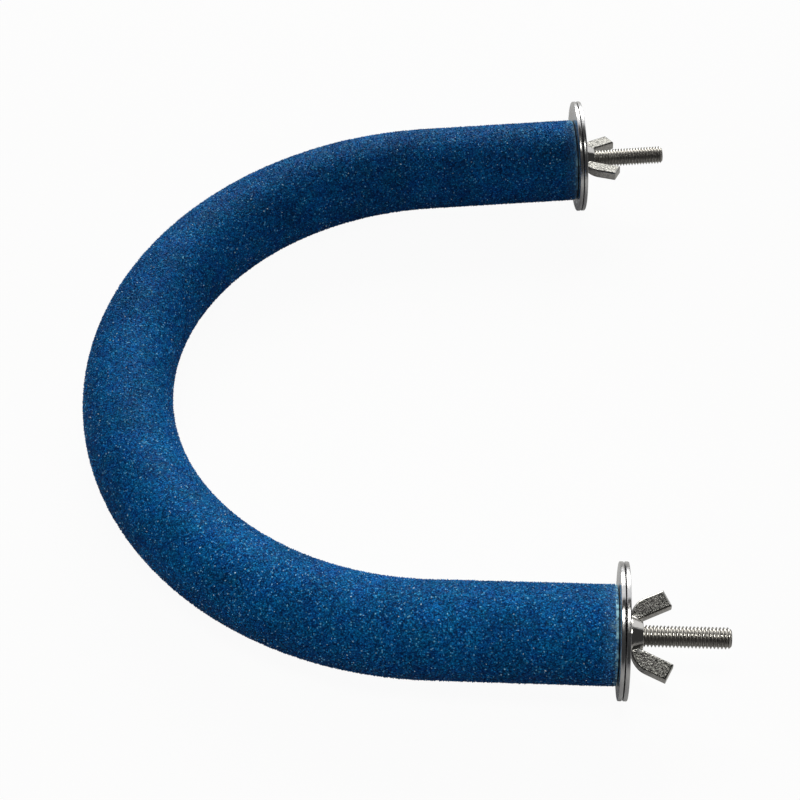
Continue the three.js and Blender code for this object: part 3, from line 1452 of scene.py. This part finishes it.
    def _wear(self, grains: Object) -> None:
        """Rubs some of the grains near the cut end pale.

        Args:
            grains: The scattered grains.
        """
        points = rows_of(grains)
        to_end, _ = self.layout.along_pipe(points)
        haze, rubbed = self.layout.end_wear(points)
        draw = np.empty(len(points), np.float32)
        grains.data.attributes[Layer.GRAIN_DRAW.value].data.foreach_get("value", draw)
        chance = fade(to_end, 0.0, self.worn_reach) * self.worn_share + rubbed * self.rubbed_share
        worn = (draw * self.wear_shuffle) % 1.0 < chance
        paint(grains, Layer.GRAIN_WEAR, np.where(worn, self.worn_paleness, haze))

    def _map(self, grains: Object, corners: int) -> None:
        """Stacks each grain's faces in a small cell of the map, as its colour hardly varies.

        Args:
            grains: The scattered grains.
            corners: How many face corners one grain has.
        """
        count = len(grains.data.loops) // corners
        row = math.ceil(math.sqrt(count))
        index = np.repeat(np.arange(count), corners)
        middle = np.stack((index % row + 0.5, index // row + 0.5), axis=1)
        reach = self.map_facet
        facet = np.array(((-reach, -reach), (reach, -reach), (0.0, reach)))
        lay_out(grains, (middle + np.tile(facet, (len(index) // 3, 1))) / row)


@dataclass
class Crystals(SandGrains):
    """The few clear crystals, smaller and much farther apart than the grains, and a little higher."""

    kind: str = "crystals"
    finish: Finish = CrystalFinish()
    left_seed: int = 61
    right_seed: int = 79
    bed_radius: float = 13.90 * MM
    grain_radius: float = 0.28 * MM
    smallest: float = 0.35
    largest: float = 1.15
    spacing: float = 0.60 * MM
    density: float = 8.0e4


@dataclass(frozen=True)
class WingNut:
    """The forged wing nut: a coned hub and two square-ended wings."""

    bore: float = 3.12 * MM
    countersink: float = 0.35 * MM
    hub_base: float = 5.3 * MM
    hub_top: float = 4.0 * MM
    hub_foot: float = 0.9 * MM
    hub_height: float = 3.9 * MM
    hub_steps: int = 96
    hub_polish: float = 0.9
    span: float = 27.0 * MM
    height: float = 12.0 * MM
    wing_width: float = 5.3 * MM
    wing_thickness: float = 3.1 * MM
    wing_flare: float = 26.0
    wing_foot: float = 0.5 * MM
    wing_root_gap: float = 0.2 * MM
    wing_blend: float = 4.0 * MM
    wing_blend_steps: int = 10
    wing_bevel: float = 0.5 * MM
    wing_bevel_steps: int = 3
    voxel: float = 0.14 * MM
    softening: float = 0.5
    soften_rounds: int = 2
    forge_pits: Relief = Relief("forge_pits", Lumps.SOFT, 0.45 * MM, 0.05 * MM, layers=3)
    skin_start: float = 0.1 * MM
    skin_blend: float = 0.4 * MM
    flat_from: float = 0.93  # the Y of a normal, where a wing's bevel ends
    flat_by: float = 0.99
    crease: float = 180.0

    def model(self) -> Object:
        """Forges the nut about +Z, standing on height 0, with its wings along +X and -X.

        Returns:
            The nut.
        """
        nut = self._hub()
        self._drill(nut)
        wings = [self._wing() for _ in range(2)]
        settle(wings[1], Matrix.Rotation(HALF_TURN, 4, "Z"))
        take_up(nut)
        for wing in wings:
            wing.select_set(True)
        bpy.ops.object.join()
        modify(nut, "REMESH", mode="VOXEL", voxel_size=self.voxel)
        modify(nut, "SMOOTH", factor=self.softening, iterations=self.soften_rounds)
        self._age(nut)
        smooth(nut, self.crease)
        return nut

    def _hub(self) -> Object:
        """Models the hub: a straight foot with a cone drawn up from it.

        Returns:
            The hub.
        """
        hub = primitive(
            bpy.ops.mesh.primitive_cylinder_add,
            "nut_model",
            vertices=self.hub_steps,
            radius=self.hub_base,
            depth=self.hub_foot,
            location=(0, 0, self.hub_foot / 2),
        )
        pick(hub, Element.FACE, faces_up)
        rise = (0, 0, self.hub_height - self.hub_foot)
        bpy.ops.mesh.extrude_region_move(TRANSFORM_OT_translate={"value": rise})
        draw_in = self.hub_top / self.hub_base
        bpy.ops.transform.resize(value=(draw_in, draw_in, 1), center_override=(0, 0, self.hub_height))
        start_afresh()
        return hub

    def _drill(self, nut: Object) -> None:
        """Drills the bore and countersinks its mouth.

        Args:
            nut: The bare hub.
        """
        drill = primitive(
            bpy.ops.mesh.primitive_cylinder_add,
            "bore_drill",
            vertices=self.hub_steps,
            radius=self.bore,
            depth=4 * self.height,
        )
        combine(nut, drill, "DIFFERENCE")
        mouth = self.bore + self.countersink
        sink = primitive(
            bpy.ops.mesh.primitive_cone_add,
            "countersink",
            vertices=self.hub_steps,
            radius1=mouth,
            radius2=0,
            depth=mouth,
        )
        middle = Matrix.Translation((0, 0, self.hub_height - mouth / 2))
        settle(sink, middle @ Matrix.Rotation(HALF_TURN, 4, "X"))
        combine(nut, sink, "DIFFERENCE")

    def _wing(self) -> Object:
        """Cuts one wing from a block, with its square end flared away from the stud and a rounded foot.

        Returns:
            The wing, along +X.
        """
        flare = math.radians(self.wing_flare)
        lean = Vector((math.sin(flare), 0, math.cos(flare)))
        outwards = Vector((math.cos(flare), 0, -math.sin(flare)))
        tip = Vector((self.span / 2, 0, self.height + self.wing_width * outwards.z))
        foot = tip - (tip.z - self.wing_foot) / lean.z * lean
        root = self.bore + self.wing_root_gap
        depth = self.height - self.wing_foot
        wing = primitive(bpy.ops.mesh.primitive_cube_add, "wing_model", size=1)
        middle = Vector(((root + self.span / 2) / 2, 0, self.wing_foot + depth / 2))
        block = Matrix.Diagonal((self.span / 2 - root, self.wing_thickness, depth, 1))
        settle(wing, Matrix.Translation(middle) @ block)
        cut_off(wing, tip, outwards)
        cut_off(wing, tip, lean)
        cut_off(wing, tip - self.wing_width * outwards, -outwards)

        def at_foot(edge: bmesh.types.BMEdge) -> bool:
            """Whether an edge is the sharp one at the wing's foot."""
            return all((vertex.co.xz - foot.xz).length < TOUCHING for vertex in edge.verts)

        def on_face(edge: bmesh.types.BMEdge) -> bool:
            """Whether an edge runs round one of the wing's two faces."""
            return abs(sum(vertex.co.y for vertex in edge.verts)) > self.wing_thickness - TOUCHING

        pick(wing, Element.EDGE, at_foot)
        bpy.ops.mesh.bevel(offset=self.wing_blend, segments=self.wing_blend_steps)
        pick(wing, Element.EDGE, on_face)
        bpy.ops.mesh.bevel(offset=self.wing_bevel, segments=self.wing_bevel_steps)
        start_afresh()
        return wing

    def _age(self, nut: Object) -> None:
        """Pits the wings' forged faces, polishes the turned hub, and leaves the bevels and edges smooth.

        Args:
            nut: The rounded nut.
        """
        points = rows_of(nut)
        radius = from_axis(points)
        half = self.wing_thickness / 2
        flat = 1 - fade(np.abs(rows_of(nut, "normal")[:, 1]), self.flat_from, self.flat_by)
        on_wing = fade(np.abs(points[:, 1]), half + self.skin_start, half + self.skin_blend)
        outside = 1 - fade(radius, self.hub_top, self.hub_top + self.skin_blend)
        skin = flat * on_wing * outside
        self.forge_pits.push(nut, skin)
        turned = (radius < self.hub_base + self.skin_blend) & (points[:, 2] < self.hub_height)
        paint(nut, Layer.FORGED_SKIN, np.where(turned, -self.hub_polish, skin))


@dataclass(frozen=True)
class Thread:
    """A thread's form: its pitch and depth, and its crest and each flank as shares of the pitch."""

    pitch: float
    depth: float
    crest: float
    flank: float

    def outline(self, radius: float, start: float) -> list[Triple]:
        """One turn's outline in the XZ plane: root, flank, crest and flank.

        Args:
            radius: The radius of its crest.
            start: The height of its first point.

        Returns:
            The points, from the bottom up.
        """
        root = radius - self.depth
        rise = 1 - self.crest - 2 * self.flank
        heights = (0.0, rise, rise + self.flank, 1 - self.flank, 1.0)
        radii = (root, root, radius, radius, root)
        return [(out, 0.0, start + self.pitch * height) for out, height in zip(radii, heights)]


@dataclass
class EndHardware:
    """The plug, stud, washers and wing nut of each leg."""

    layout: PerchLayout
    effects: SharedEffects
    nut: WingNut = WingNut()
    left_nut_turn: float = 100.0
    right_nut_turn: float = 79.0
    machine_thread: Thread = Thread(1.0 * MM, 0.61 * MM, 0.125, 0.35)
    wood_thread: Thread = Thread(2.5 * MM, 0.9 * MM, 0.10, 0.36)
    thread_radius: float = 3.0 * MM
    thread_steps: int = 32
    lead_in: float = 1.5  # turns that are wound below the kept ones
    spare_turns: int = 2
    stud_reach: float = 31.0 * MM
    stud_chamfer: float = 0.8 * MM
    stud_trim: float = 0.02 * MM
    stud_crease: float = 28.0
    shank_length: float = 5.0 * MM
    shank_steps: int = 48
    screw_length: float = 20.0 * MM
    screw_point: float = 6.0 * MM
    blank_share: float = 1.25  # of the thread's radius, so that a blank clears it
    blank_steps: int = 64
    plug_radius: float = 10.2 * MM
    plug_length: float = 30.0 * MM
    plug_chamfer: float = 1.0 * MM
    plug_hole: float = 3.3 * MM
    plug_hole_depth: float = 26.0 * MM
    plug_steps: int = 64
    plug_crease: float = 35.0
    washer_radius: float = 19.0 * MM
    washer_hole: float = 4.5 * MM
    washer_thickness: float = 1.2 * MM
    washer_edge: float = 0.28 * MM
    washer_edge_steps: int = 4
    washer_steps: int = 128
    washer_crease: float = 32.0
    seat_gap: float = 0.25 * MM

    def build(self) -> None:
        """Models each kind of piece once, about +Z, and fits copies of it to both ends."""
        models = {
            Slot.PLUG_WOOD: self._plug(),
            Slot.STUD_STEEL: self._stud(),
            Slot.WASHER_STEEL: self._washer(),
            Slot.NUT_STEEL: self.nut.model(),
        }
        materials = self._materials()
        for end in self.layout.ends.values():
            self._fit(end, models, materials)
        for model in models.values():
            bpy.data.objects.remove(model, do_unlink=True)

    def _materials(self) -> dict[Slot, Material]:
        """Builds the finishes that both ends share.

        Returns:
            The materials, by slot.
        """
        stud = SteelFinish(
            "stud_nickel",
            bright=(0.55, 0.54, 0.52),
            dull=(0.33, 0.32, 0.305),
            roughness=Span(0.15, 0.85, 0.17, 0.46),
            fineness=1800.0,
            relief=0.02 * MM,
            wear_layer=Layer.GROOVE,
        )
        washer = SteelFinish(
            "washer_zinc",
            bright=(0.60, 0.60, 0.61),
            dull=(0.52, 0.52, 0.53),
            roughness=Span(0.15, 0.85, 0.12, 0.42),
            fineness=900.0,
            relief=0.008 * MM,
            wear_layer=Layer.MATT_FACE,
        )
        nut = SteelFinish(
            "forged_nut",
            bright=(0.58, 0.57, 0.55),
            dull=(0.020, 0.020, 0.019),
            roughness=Span(0.15, 0.85, 0.10, 0.22),
            fineness=2100.0,
            relief=0.11 * MM,
            wear_layer=Layer.FORGED_SKIN,
            speckle=0.9,
            grime_share=0.55,
            scratch_share=0.1,
        )
        finishes = {
            Slot.PLUG_WOOD: WoodFinish(),
            Slot.STUD_STEEL: stud,
            Slot.WASHER_STEEL: washer,
            Slot.NUT_STEEL: nut,
        }
        return {slot: finish.material(self.effects) for slot, finish in finishes.items()}

    def _fit(self, end: EndFrame, models: dict[Slot, Object], materials: dict[Slot, Material]) -> None:
        """Fits one leg's hardware, copied from the models.

        Args:
            end: The leg's end.
            models: One plug, stud, washer and nut, by slot.
            materials: The finishes, by slot.
        """
        side = end.side
        nut_turn = self.left_nut_turn if side is Side.LEFT else self.right_nut_turn
        pair_step = self.washer_thickness + self.seat_gap
        places = (
            ("end_plug", Slot.PLUG_WOOD, Body.PERCH, end.on_stud(0.0)),
            ("stud", Slot.STUD_STEEL, Body.PERCH, end.on_stud(0.0)),
            ("inner_washer", Slot.WASHER_STEEL, Body.INNER_WASHER, end.on_washer(0.0)),
            ("outer_washer", Slot.WASHER_STEEL, Body.OUTER_WASHER, end.on_washer(pair_step)),
            ("wing_nut", Slot.NUT_STEEL, Body.WING_NUT, end.on_stud(self.layout.nut_seat, nut_turn)),
        )
        for name, slot, body, place in places:
            node = f"{side.word}_{name}"
            piece = copied(models[slot], f"{node}_dressed")
            settle(piece, place)
            finish_piece(piece, materials[slot], body.on(side), slot, node)

    def _plug(self) -> Object:
        """Turns the plug, its outer face at height 0, with a blind hole for the stud.

        Returns:
            The plug.
        """
        length = self.plug_length
        plug = primitive(
            bpy.ops.mesh.primitive_cylinder_add,
            "plug_model",
            vertices=self.plug_steps,
            radius=self.plug_radius,
            depth=length,
            location=(0, 0, -length / 2),
        )
        pick(plug, Element.EDGE, lambda edge: all(abs(v.co.z + length) < TOUCHING for v in edge.verts))
        bpy.ops.mesh.bevel(offset=self.plug_chamfer, segments=1)
        pick(plug, Element.FACE, faces_up)
        bpy.ops.mesh.inset(thickness=self.plug_radius - self.plug_hole)
        bpy.ops.mesh.extrude_region_move(TRANSFORM_OT_translate={"value": (0, 0, -self.plug_hole_depth)})
        close_seams(plug)
        smooth(plug, self.plug_crease)
        return plug

    def _washer(self) -> Object:
        """Spins the washer from its section, standing on height 0.

        Returns:
            The washer.
        """
        width, thickness = self.washer_radius - self.washer_hole, self.washer_thickness
        washer = primitive(bpy.ops.mesh.primitive_plane_add, "washer_model", size=1)
        middle = Matrix.Translation((self.washer_hole + width / 2, 0, thickness / 2))
        upright = Matrix.Rotation(HALF_TURN / 2, 4, "X")
        settle(washer, middle @ upright @ Matrix.Diagonal((width, thickness, 1, 1)))
        edit(washer)
        bpy.ops.mesh.bevel(offset=self.washer_edge, segments=self.washer_edge_steps, affect="VERTICES")
        bpy.ops.mesh.delete(type="ONLY_FACE")
        spin_round(washer, self.washer_steps)
        from_rim = self.washer_radius - from_axis(rows_of(washer))
        paint(washer, Layer.MATT_FACE, 1 - fade(from_rim, self.washer_edge, 2 * self.washer_edge))
        smooth(washer, self.washer_crease)
        return washer

    def _stud(self) -> Object:
        """Models the hanger bolt: machine thread outside, plain shank and wood screw below height 0.

        Returns:
            The stud.
        """
        radius, reach = self.thread_radius, self.stud_reach
        blank = self.blank_share * radius
        lap = self.machine_thread.pitch / 2
        tip, top = radius - self.stud_chamfer, reach - self.stud_trim
        stud = self._wound("stud_model", self.machine_thread, 0.0, reach)
        outline = ((0, -lap), (blank, -lap), (blank, reach - blank + tip), (tip, top), (0, top))
        combine(stud, self._turned("stud_blank", outline, self.blank_steps), "INTERSECT")

        screw_top = -self.shank_length
        screw_tip = screw_top - self.screw_length
        point, shoulder, top = screw_tip + lap / 2, screw_tip + self.screw_point, screw_top + lap
        screw = self._wound("screw_end", self.wood_thread, screw_tip, screw_top)
        outline = ((0, point), (blank, shoulder), (blank, top), (0, top))
        combine(screw, self._turned("screw_blank", outline, self.blank_steps), "INTERSECT")

        neck = radius - self.machine_thread.depth / 2
        bottom = screw_top - lap
        outline = ((0, bottom), (neck, bottom), (neck, lap), (0, lap))
        combine(stud, self._turned("shank", outline, self.shank_steps), "UNION")
        combine(stud, screw, "UNION")
        close_seams(stud)
        groove = fade(from_axis(rows_of(stud)), radius - self.machine_thread.depth, radius)
        paint(stud, Layer.GROOVE, groove)
        smooth(stud, self.stud_crease)
        return stud

    def _turned(self, name: str, outline: Sequence[tuple[float, float]], steps: int) -> Object:
        """Spins a solid about +Z from radius and height pairs, which start and end on the axis.

        Args:
            name: The solid's name.
            outline: The pairs, from the bottom up.
            steps: The facets round it.

        Returns:
            The closed solid.
        """
        solid = self._line(name, [(radius, 0.0, height) for radius, height in outline])
        spin_round(solid, steps)
        return solid

    def _wound(self, name: str, form: Thread, bottom: float, top: float) -> Object:
        """Winds a right-hand thread about +Z and closes it at both ends.

        Args:
            name: The thread's name.
            form: The thread's form.
            bottom: The height that it starts at.
            top: The height that it ends at.

        Returns:
            The closed thread.
        """
        start = bottom - self.lead_in * form.pitch
        thread = self._line(name, form.outline(self.thread_radius, start))
        modify(
            thread,
            "SCREW",
            axis="Z",
            angle=FULL_TURN,
            screw_offset=form.pitch,
            iterations=math.ceil((top - bottom) / form.pitch) + self.spare_turns,
            steps=self.thread_steps,
            render_steps=self.thread_steps,
            use_merge_vertices=True,
            merge_threshold=TOUCHING,
        )
        close_seams(thread, TOUCHING)
        cut_off(thread, (0, 0, bottom), (0, 0, -1))
        cut_off(thread, (0, 0, top), (0, 0, 1))
        close_seams(thread)
        return thread

    @staticmethod
    def _line(name: str, points: Sequence[Triple]) -> Object:
        """Draws a line through points, extruded one after another from a single vertex.

        Args:
            name: The line's name.
            points: Its points.

        Returns:
            The line.
        """
        line = primitive(bpy.ops.mesh.primitive_plane_add, name, size=1 * MM)
        edit(line)
        bpy.ops.mesh.merge(type="CENTER")
        bpy.ops.transform.translate(value=points[0])
        for before, after in zip(points, points[1:]):
            step = tuple(b - a for a, b in zip(before, after))
            bpy.ops.mesh.extrude_vertices_move(TRANSFORM_OT_translate={"value": step})
        start_afresh()
        return line


# Studio


@dataclass(frozen=True)
class Softbox:
    """A soft lamp, by the way that it lies from what it is aimed at."""

    name: str
    towards: Triple
    distance: float
    width: float
    height: float
    power: float
    aim: Triple = (0.0, 0.0, 0.0)
    spread: float = 180.0
    colour: Colour = (1.0, 0.99, 0.92)

    def hang(self, centre: Vector) -> None:
        """Hangs the lamp and turns it to its aim.

        Args:
            centre: What its aim is measured from.
        """
        lamp = bpy.data.lights.new(self.name, "AREA")
        lamp.shape = "RECTANGLE"
        lamp.size = self.width
        lamp.size_y = self.height
        lamp.energy = self.power
        lamp.color = self.colour
        lamp.spread = math.radians(self.spread)
        holder = bpy.data.objects.new(self.name, lamp)
        away = Vector(self.towards).normalized()
        turn = away.to_track_quat("Z", "Y").to_matrix().to_4x4()
        holder.matrix_world = Matrix.Translation(centre + Vector(self.aim) + self.distance * away) @ turn
        bpy.context.scene.collection.objects.link(holder)


@dataclass(frozen=True)
class PhotoCamera:
    """The camera at the photograph's angle, placed from the bend's centre in the perch's own plane."""

    elevation: float = 46.56
    azimuth: float = 2.73
    roll: float = -3.14
    distance: float = 559.8 * MM
    target: Triple = (-14.33 * MM, -12.02 * MM, 0.0)
    focal_pixels: float = 1812.7
    frame_pixels: float = 800.0
    sensor: float = 36.0
    nearest: float = 10 * MM

    def set_up(self, layout: PerchLayout) -> None:
        """Makes the camera the scene's own.

        Args:
            layout: Where the perch lies.
        """
        rise, around, tilt = (math.radians(a) for a in (self.elevation, self.azimuth, self.roll))
        flat = math.cos(rise)
        back = Vector((math.sin(around) * flat, -math.cos(around) * flat, math.sin(rise)))
        right = (-back).cross(Vector((0, 0, 1))).normalized()
        upright = right.cross(-back)
        across = math.cos(tilt) * right + math.sin(tilt) * upright
        over = -math.sin(tilt) * right + math.cos(tilt) * upright
        turned = layout.axes @ Matrix((across, over, back)).transposed()
        data = bpy.data.cameras.new("photo_camera")
        data.sensor_fit = "HORIZONTAL"
        data.sensor_width = self.sensor
        data.lens = self.focal_pixels / self.frame_pixels * self.sensor
        data.clip_start = self.nearest
        camera = bpy.data.objects.new("photo_camera", data)
        place = layout.at(Vector(self.target) + self.distance * back)
        camera.matrix_world = Matrix.Translation(place) @ turned.to_4x4()
        bpy.context.scene.collection.objects.link(camera)
        bpy.context.scene.camera = camera


@dataclass(frozen=True)
class Studio:
    """A white floor, soft lamps and a dim room."""

    floor_size: float = 14.0
    floor_drop: float = 0.35 * MM
    floor_colour: Colour = (0.49, 0.47, 0.53)
    floor_shown: Colour = (0.62, 0.62, 0.62)
    floor_in_metal: Colour = (0.52, 0.52, 0.52)
    floor_roughness: float = 0.9
    floor_lift: float = 0.95
    floor_mirrored: float = 0.06
    white: Colour = (1.0, 1.0, 1.0)
    room_fill: Colour = (0.092, 0.086, 0.098)
    tent: Span = Span(0.27, 0.36, 0.05, 1.0)
    lamps: tuple[Softbox, ...] = (
        Softbox("back_softbox", (0.0, 0.85, 0.53), 1.00, 0.80, 0.50, 11.2),
        Softbox("top_softbox", (0.0, -0.19, 0.982), 0.50, 0.25, 0.14, 0.135, (-0.02, -0.10, 0.0), 54.0),
    )

    def set_up(self, layout: PerchLayout) -> None:
        """Builds the studio and the camera.

        Args:
            layout: Where the perch lies.
        """
        PhotoCamera().set_up(layout)
        for lamp in self.lamps:
            lamp.hang(layout.bend_centre)
        self._lay_floor()
        self._light_room()
        bpy.context.scene.view_settings.view_transform = "Standard"

    def _lay_floor(self) -> None:
        """Lays a floor that looks white to the camera and to metal and still takes a shadow."""
        below = (0, 0, -self.floor_drop)
        floor = primitive(bpy.ops.mesh.primitive_plane_add, "floor", size=self.floor_size, location=below)
        surface = Surface("white_floor")
        seen, mirrored = surface.light_path()
        colour = surface.mix(mirrored, self.floor_colour, self.floor_in_metal)
        surface.set(
            Base_Color=surface.mix(seen, colour, self.floor_shown),
            Roughness=self.floor_roughness,
            Specular_IOR_Level=0.0,
        )
        share = surface.math(
            "MAXIMUM",
            surface.math("MULTIPLY", seen, self.floor_lift),
            surface.math("MULTIPLY", mirrored, self.floor_mirrored),
        )
        glow = surface.add("ShaderNodeEmission", Color=self.white, Strength=1.0)
        shaders = (surface.shader.outputs[0], glow.outputs[0])
        blend = surface.add("ShaderNodeMixShader", None, (share, *shaders))
        surface.feed(surface.tree.nodes["Material Output"].inputs["Surface"], blend.outputs[0])
        floor.data.materials.append(surface.material)

    def _light_room(self) -> None:
        """Hangs a white tent behind the perch, which metal shows and which lights little."""
        world = bpy.data.worlds.new("studio_room")
        world.use_nodes = True
        bpy.context.scene.world = world
        graph = Graph(world.node_tree)
        around = graph.add("ShaderNodeTexCoord").outputs["Generated"]
        way = graph.add("ShaderNodeSeparateXYZ", Vector=around).outputs
        seen, mirrored = graph.light_path()
        shown = graph.math("MAXIMUM", mirrored, seen)
        bright = graph.math("MAXIMUM", self.tent.of(graph, way["Y"]), seen)
        backdrop = world.node_tree.nodes["Background"]
        graph.feed(backdrop.inputs["Color"], graph.mix(shown, self.room_fill, bright))


def main() -> None:
    """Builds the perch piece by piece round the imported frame."""
    logging.basicConfig(level=logging.INFO, format="%(name)s: %(message)s")
    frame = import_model()
    start_afresh()
    layout = PerchLayout.from_frame(frame)
    effects = SharedEffects()
    Studio().set_up(layout)

    BentPipe(layout, effects).build()
    grains = SandGrains(layout, effects)
    crystals = Crystals(layout, effects)
    for side in Side:
        grains.build(side)
        crystals.build(side)
    EndHardware(layout, effects).build()


if __name__ == "__main__":
    main()
